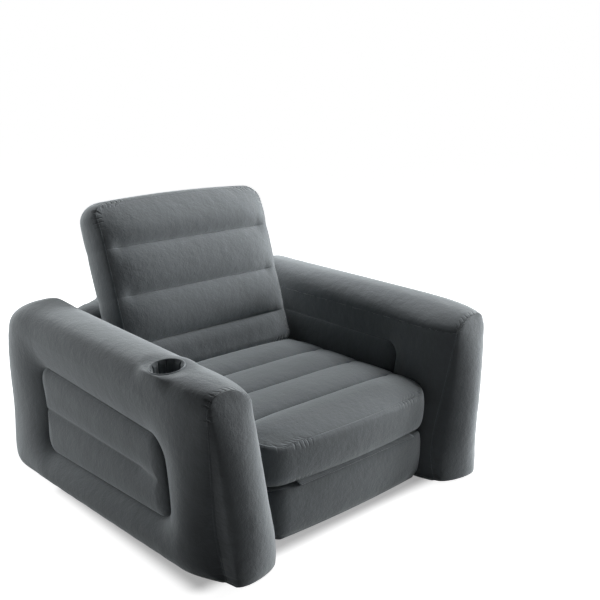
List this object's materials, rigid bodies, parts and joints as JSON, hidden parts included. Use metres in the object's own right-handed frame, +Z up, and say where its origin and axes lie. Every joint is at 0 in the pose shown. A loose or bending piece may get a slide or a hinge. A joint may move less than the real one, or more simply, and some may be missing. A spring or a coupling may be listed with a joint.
{
  "type": "inflatable pull-out armchair",
  "caption": "Inflatable armchair with channelled cushions that unfold forwards into a single bed, fat arms with sunk side panels, and a cup well in the left arm.",
  "frame": {"origin": "middle of the base's flat underside, on the floor", "axes": "+X to the sitter's left, which is the right side as seen from the front; -Y the front, where the cushions unfold; +Z up"},
  "size_m": [1.1898, 1.22, 0.8186],
  "materials": {
    "flocked_vinyl": "short velvety flocking on soft vinyl, brighter at grazing angles",
    "vinyl_film": "plain soft vinyl film, slightly glossy",
    "cup_liner": "dark vinyl, pleated where it narrows",
    "moulded_vinyl": "satin moulded vinyl"
  },
  "bodies": {
    "chair": {"left_arm_skin": "flocked_vinyl", "right_arm_skin": "flocked_vinyl", "base_skin": "flocked_vinyl", "fixed_back_skin": "flocked_vinyl", "cup_well": "cup_liner", "left_arm_frame_web": "vinyl_film", "left_arm_middle_web": "vinyl_film", "right_arm_frame_web": "vinyl_film", "right_arm_middle_web": "vinyl_film", "base_beam_1": "vinyl_film", "base_beam_2": "vinyl_film", "base_beam_3": "vinyl_film", "fixed_back_beam_1": "vinyl_film", "fixed_back_beam_2": "vinyl_film", "fixed_back_beam_3": "vinyl_film", "base_strip": "vinyl_film", "left_base_sleeve": "vinyl_film", "left_back_sleeve": "vinyl_film", "right_base_sleeve": "vinyl_film", "right_back_sleeve": "vinyl_film", "rear_sleeve": "vinyl_film", "chair_valve_base": "moulded_vinyl"},
    "seat_cushion": {"seat_cushion_skin": "flocked_vinyl", "seat_beam_1": "vinyl_film", "seat_beam_2": "vinyl_film", "seat_beam_3": "vinyl_film", "seat_front_strip": "vinyl_film", "seat_rear_strip": "vinyl_film"},
    "back_cushion": {"back_cushion_skin": "flocked_vinyl", "back_cushion_beam_1": "vinyl_film", "back_cushion_beam_2": "vinyl_film", "back_cushion_beam_3": "vinyl_film", "back_cushion_strip": "vinyl_film", "bed_valve_base": "moulded_vinyl"},
    "chair_valve_plug": {"chair_valve_body": "moulded_vinyl", "chair_valve_flap": "moulded_vinyl"},
    "chair_valve_lid": {"chair_valve_cap": "moulded_vinyl"},
    "bed_valve_plug": {"bed_valve_body": "moulded_vinyl", "bed_valve_flap": "moulded_vinyl"},
    "bed_valve_lid": {"bed_valve_cap": "moulded_vinyl"}
  },
  "joints": [
    {"name": "seat_unfold", "type": "hinge", "parent": "chair", "child": "seat_cushion", "pos_m": [0, -0.3435, 0.165], "axis": [1, 0, 0], "range_deg": [0, 180]},
    {"name": "back_unfold", "type": "hinge", "parent": "seat_cushion", "child": "back_cushion", "pos_m": [0, 0.3055, 0.299], "axis": [1, 0, 0], "range_deg": [-71.4, 0]},
    {"name": "chair_valve_plug_pull", "type": "slide", "parent": "chair", "child": "chair_valve_plug", "axis": [0, 0.9983, 0.0577], "range_m": [0, 0.018]},
    {"name": "chair_valve_lid_pull", "type": "slide", "parent": "chair_valve_plug", "child": "chair_valve_lid", "axis": [0, 0.9983, 0.0577], "range_m": [0, 0.012]},
    {"name": "bed_valve_plug_pull", "type": "slide", "parent": "back_cushion", "child": "bed_valve_plug", "axis": [1, 0, 0], "range_m": [0, 0.018]},
    {"name": "bed_valve_lid_pull", "type": "slide", "parent": "bed_valve_plug", "child": "bed_valve_lid", "axis": [1, 0, 0], "range_m": [0, 0.012]}
  ],
  "couplings": [
    {"joint": "back_unfold", "follows": "seat_unfold", "ratio": -0.39611}
  ]
}
